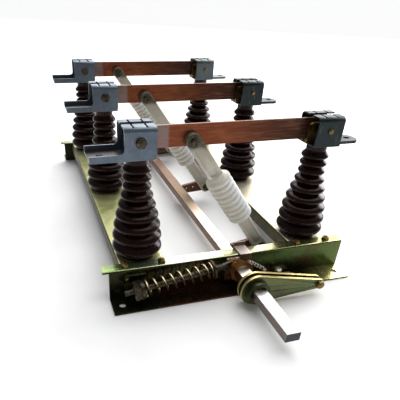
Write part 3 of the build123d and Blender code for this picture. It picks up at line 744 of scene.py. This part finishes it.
def pull_rod(pole):
    """Moulded rod: grooved arms with round eyes and a body of rounded ribs between them."""
    mesh = bmesh.new()
    eye_point = joints["rod_swing_" + pole]
    pin_point = middle("crank_pin_" + pole)
    centre_y = middle("pull_rod_" + pole).y
    start = Vector((eye_point.x, centre_y, eye_point.z))
    stop = Vector((pin_point.x, centre_y, pin_point.z))
    along = (stop - start).normalized()
    across = along.cross(BACK)
    length = (stop - start).length
    inner = ROD_EYE - ROD_RIM
    for near, far, open_near, open_far in (
        (0, RIB_START + ARM_OVERLAP, GROOVE_TO_EYE, RIB_START - GROOVE_TO_BODY),
        (RIBS_END - ARM_OVERLAP, length, RIBS_END + GROOVE_TO_BODY, length - GROOVE_TO_EYE),
    ):
        half = (
            (open_near, open_far, inner - GROOVE_SLOPE, GROOVE_HALF),
            (open_near, open_far, inner, ROD_HALF - GROOVE_EASE),
            (open_near, open_far, inner + GROOVE_EASE, ROD_HALF),
            (near, far, ROD_EYE - ARM_EASE, ROD_HALF),
            (near, far, ROD_EYE - ARM_EASE_MIDDLE, ROD_HALF - ARM_EASE_MIDDLE),
            (near, far, ROD_EYE, ROD_HALF - ARM_EASE),
        )
        outlines = list(half) + [(a, b, radius, -depth) for a, b, radius, depth in reversed(half)]
        loops = []
        for a, b, radius, depth in outlines:
            loops.append([start + along * u + across * v + BACK * depth for u, v in stadium(a, b, radius)])
        skin(mesh, loops)
    for axis in (FRONT, BACK):
        turned(mesh, start + axis * ROD_HALF, axis, [(BOSS, 0), (BOSS - BOSS_EASE, BOSS_HEIGHT)])
    collar_start, collar_end = RIB_START - COLLAR_LENGTH, RIBS_END + COLLAR_LENGTH
    profile = [(COLLAR - COLLAR_EASE, collar_start), (COLLAR, collar_start + COLLAR_EASE)]
    for k in range(RIB_COUNT * RIB_STEPS + 1):
        share = k / RIB_STEPS % 1
        swell = (1 - abs(2 * share - 1) ** 3.2) ** 0.8
        profile.append((RIB_CORE + (RIB_RADIUS - RIB_CORE) * swell, RIB_START + k * RIB_PITCH / RIB_STEPS))
    profile += [(COLLAR, collar_end - COLLAR_EASE), (COLLAR - COLLAR_EASE, collar_end)]
    turned(mesh, start, along, profile, segments=56)
    finished("pull_rod_shown_" + pole, mesh, "rod_plastic", "rod_" + pole, "pull_rod_" + pole, sharp=50)


ROD_BOLT = 5 * MM
EYE_NUT = Nut(flat=7.6 * MM, height=3 * MM, thread=4 * MM, washer=9 * MM, proud=0.4 * MM)
CRANK_NUT = Nut(flat=7.6 * MM, height=4 * MM, thread=4.6 * MM, washer=13 * MM, proud=1.2 * MM)
EYE_NUT_FACE = 5 * MM  # the nuts' seats, in front of the CAD bolts' rear ends
CRANK_NUT_FACE = 7 * MM
CRANK_BOLT_END = 1 * MM
EYE_WASHER, EYE_WASHER_GAP, EYE_WASHER_HEIGHT = 11.6 * MM, 0.8 * MM, 1.2 * MM
EYE_HEAD, EYE_HEAD_HEIGHT = 6.6 * MM, 3.6 * MM
EYE_END, EYE_END_LENGTH = 4 * MM, 1.2 * MM
CRANK_WASHER, CRANK_WASHER_HEIGHT = 10 * MM, 1 * MM
CRANK_HEAD, CRANK_HEAD_HEIGHT = 7.6 * MM, 4.6 * MM


def eye_bolt(pole):
    """Bolt through the blade and the rod's eye."""
    x, _, z = joints["rod_swing_" + pole]
    front = Vector((x, middle("pull_rod_" + pole).y - ROD_HALF - EYE_WASHER_GAP, z))
    back = Vector((x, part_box("rod_bolt_" + pole)[1].y - EYE_NUT_FACE, z))
    mesh = bmesh.new()
    pin(mesh, back, FRONT, ROD_BOLT, back.y + EYE_NUT_FACE - front.y)
    place = washer(mesh, front, FRONT, EYE_WASHER, EYE_WASHER_HEIGHT)
    place = hexagon(mesh, place, FRONT, EYE_HEAD, EYE_HEAD_HEIGHT)
    stud(mesh, place, FRONT, EYE_END, EYE_END_LENGTH)
    nut(mesh, back, BACK, EYE_NUT)
    finished("rod_bolt_shown_" + pole, mesh, "bolt_steel", "blade_" + pole + "_body", "rod_bolt_" + pole)


def crank_bolt(pole):
    """Bolt through the rod's lower eye and the crank's wide hole."""
    x, _, z = middle("crank_pin_" + pole)
    front = Vector((x, middle("pull_rod_" + pole).y - ROD_HALF, z))
    back = Vector((x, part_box("crank_pin_" + pole)[1].y, z))
    mesh = bmesh.new()
    pin(mesh, back + FRONT * CRANK_BOLT_END, FRONT, ROD_BOLT, back.y - front.y)
    place = washer(mesh, front, FRONT, CRANK_WASHER, CRANK_WASHER_HEIGHT)
    hexagon(mesh, place, FRONT, CRANK_HEAD, CRANK_HEAD_HEIGHT)
    nut(mesh, back + FRONT * CRANK_NUT_FACE, BACK, CRANK_NUT)
    finished("crank_pin_shown_" + pole, mesh, "bolt_steel", "rod_" + pole, "crank_pin_" + pole)


for pole in POLES:
    pull_rod(pole)
    eye_bolt(pole)
    crank_bolt(pole)


# ---- springs -----------------------------------------------------------------------------


def coil(mesh, start, stop, radius, wire, turns, dead=0.75):
    """Round-wire coil between two points; dead counts the turns that lie close at each end."""
    axis = (stop - start).normalized()
    side = axis.orthogonal().normalized()
    other = axis.cross(side)
    length = (stop - start).length
    steps = int(turns * 28)
    lead = dead * 2 * wire  # length taken by each close end turn
    section = [(wire * math.cos(a), wire * math.sin(a)) for a in (2 * math.pi * i / 12 for i in range(12))]
    loops = []
    for k in range(steps + 1):
        turn = turns * k / steps
        if turn < dead:
            height = lead * turn / dead
        elif turn > turns - dead:
            height = length - lead * (turns - turn) / dead
        else:
            height = lead + (length - 2 * lead) * (turn - dead) / (turns - 2 * dead)
        angle = 2 * math.pi * turn
        outward = side * math.cos(angle) + other * math.sin(angle)
        point = start + axis * height + outward * radius
        loops.append([point + outward * out + axis * rise for out, rise in section])
    skin(mesh, loops)


TOGGLE_WIRE = 1.9 * MM  # wire's radius
TOGGLE_RADIUS = 14.6 * MM
TOGGLE_TURNS = 9
TOGGLE_START = 45.4 * MM  # from the crank's pin, along the guide rod
TOGGLE_STOP = 12.4 * MM  # from the seat's swivel


def toggle_spring():
    """The overcentre spring on its guide rod; it shortens as the lever turns."""
    crank_end = Vector((spring_pin.x, spring_swivel.y, spring_pin.z))
    axis = (spring_swivel - crank_end).normalized()
    start = crank_end + axis * (TOGGLE_START + TOGGLE_WIRE)
    stop = spring_swivel - axis * (TOGGLE_STOP + TOGGLE_WIRE)
    mesh = bmesh.new()
    coil(mesh, start, stop, TOGGLE_RADIUS, TOGGLE_WIRE, TOGGLE_TURNS)
    spring = finished("toggle_spring_shown", mesh, "spring_wire", "guide", "toggle_spring", sharp=60)
    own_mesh(spring)


RETURN_ENDS = ((19 * MM, 14 * MM), (57 * MM, -9 * MM))  # from the shaft's middle, along X and Z
RETURN_STANDS = 9.5 * MM  # in front of the web
RETURN_POST = ((2.2 * MM, 0), (2.2 * MM, 12.5 * MM), (3.4 * MM, 12.6 * MM), (3.4 * MM, 14 * MM))


def return_spring():
    """Small tension spring between two headed posts, beside the bearing plate."""
    mesh = bmesh.new()
    start, stop = (Vector((shaft.x + x, web_y - RETURN_STANDS, shaft.z + z)) for x, z in RETURN_ENDS)
    coil(mesh, start, stop, radius=3.8 * MM, wire=1.0 * MM, turns=6, dead=0.2)
    for end in (start, stop):
        turned(mesh, end + BACK * RETURN_STANDS, FRONT, RETURN_POST)
    finished("return_spring", mesh, "bright_zinc", "root", sharp=60)


toggle_spring()
return_spring()


# ---- lever and frame hardware ------------------------------------------------------------

LEVER_ANGLE = math.radians(-4)
LEVER_PLATE = 6 * MM
RING_WALL, RING_EASE = 7 * MM, 0.8 * MM
TIP_INSET = 8.5 * MM  # from the CAD hub's bolt end to the visible bolt's middle
TIP_BOLT = 5.5 * MM
TIP_NUT = Nut(flat=7.6 * MM, height=4.4 * MM, thread=4.6 * MM, washer=9 * MM, proud=1.2 * MM)
TIP_HEAD, TIP_HEAD_HEIGHT = 7.4 * MM, 5 * MM


def lever_hardware():
    """Spacer rings of the lever plates and the bolt through their tips."""
    low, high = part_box("lever_plates")
    hub_low, hub_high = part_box("lever_hub")
    outer = shaft.x - hub_low.x
    bore = outer - RING_WALL
    rings = bmesh.new()
    for back, front in ((high.y - LEVER_PLATE, low.y + LEVER_PLATE), (low.y, hub_low.y)):
        wide = back - front
        ring = [(bore, 0), (outer, 0), (outer, wide - RING_EASE), (outer - RING_EASE, wide), (bore, wide)]
        turned(rings, Vector((shaft.x, back, shaft.z)), FRONT, ring, segments=56, closed=True)
    finished("lever_rings", rings, "dark_zinc", "shaft", "lever_hub")
    bolt = bmesh.new()
    reach = hub_high.x - TIP_INSET - shaft.x
    tip_z = shaft.z + reach * math.tan(LEVER_ANGLE)
    back = Vector((shaft.x + reach, high.y, tip_z))
    front = Vector((shaft.x + reach, low.y, tip_z))
    pin(bolt, back, FRONT, TIP_BOLT, high.y - low.y)
    nut(bolt, front, FRONT, TIP_NUT)
    hexagon(bolt, back, BACK, TIP_HEAD, TIP_HEAD_HEIGHT)
    finished("lever_bolt", bolt, "gold_bolt", "shaft")


RAIL_NUT = Nut(flat=6.5 * MM, height=5 * MM, thread=4 * MM, washer=8 * MM, proud=2.5 * MM)
RAIL_BOLT_SETBACK = 12 * MM  # from the top flanges' edges
RAIL_BOLT_SPREAD = 36 * MM  # to each side of the posts
POST_WASHER, POST_WASHER_HEIGHT = 13 * MM, 2.5 * MM
POST_HEAD, POST_HEAD_HEIGHT = 9.5 * MM, 7.5 * MM
BEARING_PLATE = 5 * MM
BEARING_NUT = Nut(flat=5 * MM, height=4 * MM, thread=3 * MM, washer=6.5 * MM, proud=2.5 * MM)
BEARING_BOLT_X, BEARING_BOLT_Z = 21 * MM, -20 * MM  # from the shaft's middle
BRACKET_BOLT_X, BRACKET_BOLT_Z = 16 * MM, -14 * MM  # from the spring seat's swivel
BRACKET_HEAD, BRACKET_HEAD_HEIGHT = 4 * MM, 3 * MM


def frame_hardware():
    """Bolts that hold rails, posts, bearings and the spring's bracket."""
    mesh = bmesh.new()
    front_y = front_member_high.y - RAIL_BOLT_SETBACK
    rear_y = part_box("rear_member")[0].y + RAIL_BOLT_SETBACK
    under_z = rail_top - SHEET
    plate_front = web_y - BEARING_PLATE
    for x in (hinge_x, jaw_x):
        for y in (front_y, rear_y):
            for offset in (-RAIL_BOLT_SPREAD, RAIL_BOLT_SPREAD):
                nut(mesh, Vector((x + offset, y, flange_top)), UP, RAIL_NUT)
                hexagon(mesh, Vector((x + offset, y, under_z)), -UP, RAIL_NUT.flat, RAIL_NUT.height)
        for pole in POLES:
            place = Vector((x, pole_y(pole), under_z))
            place = washer(mesh, place, -UP, POST_WASHER, POST_WASHER_HEIGHT)
            hexagon(mesh, place, -UP, POST_HEAD, POST_HEAD_HEIGHT)
    for side in (-1, 1):
        place = Vector((shaft.x + side * BEARING_BOLT_X, plate_front, shaft.z + BEARING_BOLT_Z))
        nut(mesh, place, FRONT, BEARING_NUT)
        place = Vector((side * BRACKET_BOLT_X, 0, side * BRACKET_BOLT_Z))
        place += Vector((spring_swivel.x, plate_front, spring_swivel.z))
        hexagon(mesh, place, FRONT, BRACKET_HEAD, BRACKET_HEAD_HEIGHT)
    finished("frame_hardware", mesh, "gold_bolt", "root")


STOP_FROM_SHAFT = 90 * MM
STOP_FROM_WEB = 13 * MM
TAB_OFFSET = 12 * MM  # from the bolt to the tab's middle
TAB_LENGTH, TAB_WIDTH, TAB_EASE = 48 * MM, 18 * MM, 0.6 * MM
STOP_BOLT, STOP_REACH = 4 * MM, 8 * MM
STOP_HEX = 6.5 * MM
STOP_NUT_HEIGHT, STOP_HEAD_HEIGHT = 5.5 * MM, 5.3 * MM
STOP_END_LENGTH = 1.5 * MM


def lever_stop():
    """Flat tab on the bottom flange with a bolt standing in it."""
    mesh = bmesh.new()
    place = Vector((shaft.x + STOP_FROM_SHAFT, web_y - STOP_FROM_WEB, SHEET))
    tab = place + Vector((TAB_OFFSET, 0, 0))
    loops = []
    for inset, height in ((0, 0), (0, SHEET - TAB_EASE), (TAB_EASE, SHEET)):
        a, b = TAB_LENGTH / 2 - inset, TAB_WIDTH / 2 - inset
        loops.append([tab + Vector((x, y, height)) for x, y in ((-a, -b), (a, -b), (a, b), (-a, b))])
    skin(mesh, loops)
    place = hexagon(mesh, place + UP * SHEET, UP, STOP_HEX, STOP_NUT_HEIGHT)
    pin(mesh, place, UP, STOP_BOLT, STOP_REACH)
    place = hexagon(mesh, place + UP * STOP_REACH, UP, STOP_HEX, STOP_HEAD_HEIGHT)
    stud(mesh, place, UP, STOP_BOLT, STOP_END_LENGTH)
    finished("lever_stop", mesh, "bright_zinc", "root")


lever_hardware()
frame_hardware()
lever_stop()


# ---- edges of the CAD pieces -------------------------------------------------------------

EDGE_WIDTHS = {  # in millimetres
    "front_member": 0.5,
    "rear_member": 0.5,
    "left_rail": 0.4,
    "right_rail": 0.4,
    "shaft_bearings": 0.6,
    "spring_bracket": 0.6,
    "hinge_terminal_": 0.35,
    "jaw_terminal_": 0.35,
    "contact_cheeks_": 0.6,
    "blade_": 0.5,
    "shaft_cranks": 0.7,
    "lever_plates": 0.7,
    "spring_crank": 0.6,
    "spring_seat": 0.6,
}
WELD_REACH = 0.005 * MM
EDGE_ANGLE = math.radians(50)


def ease_edges(node, width):
    """Rounds a sheet or plate piece's sharp edges a little, as cutting and plating leave them."""
    shown = frame["nodes"][node]
    weld = shown.modifiers.new("weld", "WELD")
    weld.merge_threshold = WELD_REACH
    bevel = shown.modifiers.new("edges", "BEVEL")
    bevel.width = width * MM
    bevel.segments = 2
    bevel.limit_method = "ANGLE"
    bevel.angle_limit = EDGE_ANGLE
    bevel.harden_normals = True


for node in frame["nodes"]:
    for prefix, width in EDGE_WIDTHS.items():
        if node.startswith(prefix):
            ease_edges(node, width)


# ---- stage -------------------------------------------------------------------------------

FLOOR_SIZE = 60
FLOOR_DROP = 0.5 * MM
LIGHTS = (  # name, kind, size or angle, energy, place
    ("sky", "SUN", math.radians(75), 2.7, (0.9, 1.3, 3.2)),
    ("back", "AREA", 4.0, 120, (1.6, 3.4, 2.4)),
    ("side", "AREA", 1.2, 34, (2.3, 0.6, 0.9)),
)
SKY_COLOUR, SKY_STRENGTH = (0.95, 0.97, 1, 1), 0.28
CAMERA_PLACE = (-0.3607, -1.0388, 0.5223)
AZIMUTH, ELEVATION, ROLL = math.radians(18.44), math.radians(33.79), math.radians(2.48)
SENSOR, LENS = 36, 38.495
SHIFT_X, SHIFT_Y = 0.0861, 0.1618
CLIP_START = 0.01


def floor_plane():
    """Plain pale floor just under the feet."""
    paint = Paint("floor")
    paint.colour(paint.ramp(paint.noise(12, 3), (0.3, (0.92, 0.92, 0.91)), (0.7, (0.95, 0.95, 0.94))))
    paint.set(Roughness=0.85)
    bpy.ops.mesh.primitive_plane_add(size=FLOOR_SIZE, location=(0, 0, -FLOOR_DROP))
    floor = bpy.context.object
    floor.name = "floor"
    floor.data.materials.append(paint.material)


def lighting():
    """Even pale surroundings, a very soft sun and two large soft lamps."""
    world = bpy.data.worlds.new("studio")
    world.use_nodes = True
    background = world.node_tree.nodes["Background"]
    background.inputs["Color"].default_value = SKY_COLOUR
    background.inputs["Strength"].default_value = SKY_STRENGTH
    bpy.context.scene.world = world
    for name, kind, size, energy, place in LIGHTS:
        data = bpy.data.lights.new(name, kind)
        if kind == "SUN":
            data.angle = size
        else:
            data.size = size
        data.energy = energy
        lamp = bpy.data.objects.new(name, data)
        lamp.location = place
        lamp.rotation_euler = (-lamp.location).to_track_quat("-Z", "Y").to_euler()
        bpy.context.scene.collection.objects.link(lamp)


def photo_camera():
    """Camera at the photograph's angle."""
    scene = bpy.context.scene
    data = bpy.data.cameras.new("camera")
    camera = bpy.data.objects.new("camera", data)
    camera.location = CAMERA_PLACE
    level_reach = math.cos(ELEVATION)
    ahead = Vector((level_reach * math.sin(AZIMUTH), level_reach * math.cos(AZIMUTH), -math.sin(ELEVATION)))
    level = ahead.cross(UP).normalized()
    turn = Matrix.Rotation(-ROLL, 3, ahead)
    right, above = turn @ level, turn @ level.cross(ahead)
    camera.rotation_euler = Matrix((right, above, -ahead)).transposed().to_euler()
    data.sensor_width = SENSOR
    data.lens = LENS
    data.shift_x = SHIFT_X
    data.shift_y = SHIFT_Y
    data.clip_start = CLIP_START
    scene.collection.objects.link(camera)
    scene.camera = camera
    scene.view_settings.view_transform = "Standard"


floor_plane()
lighting()
photo_camera()
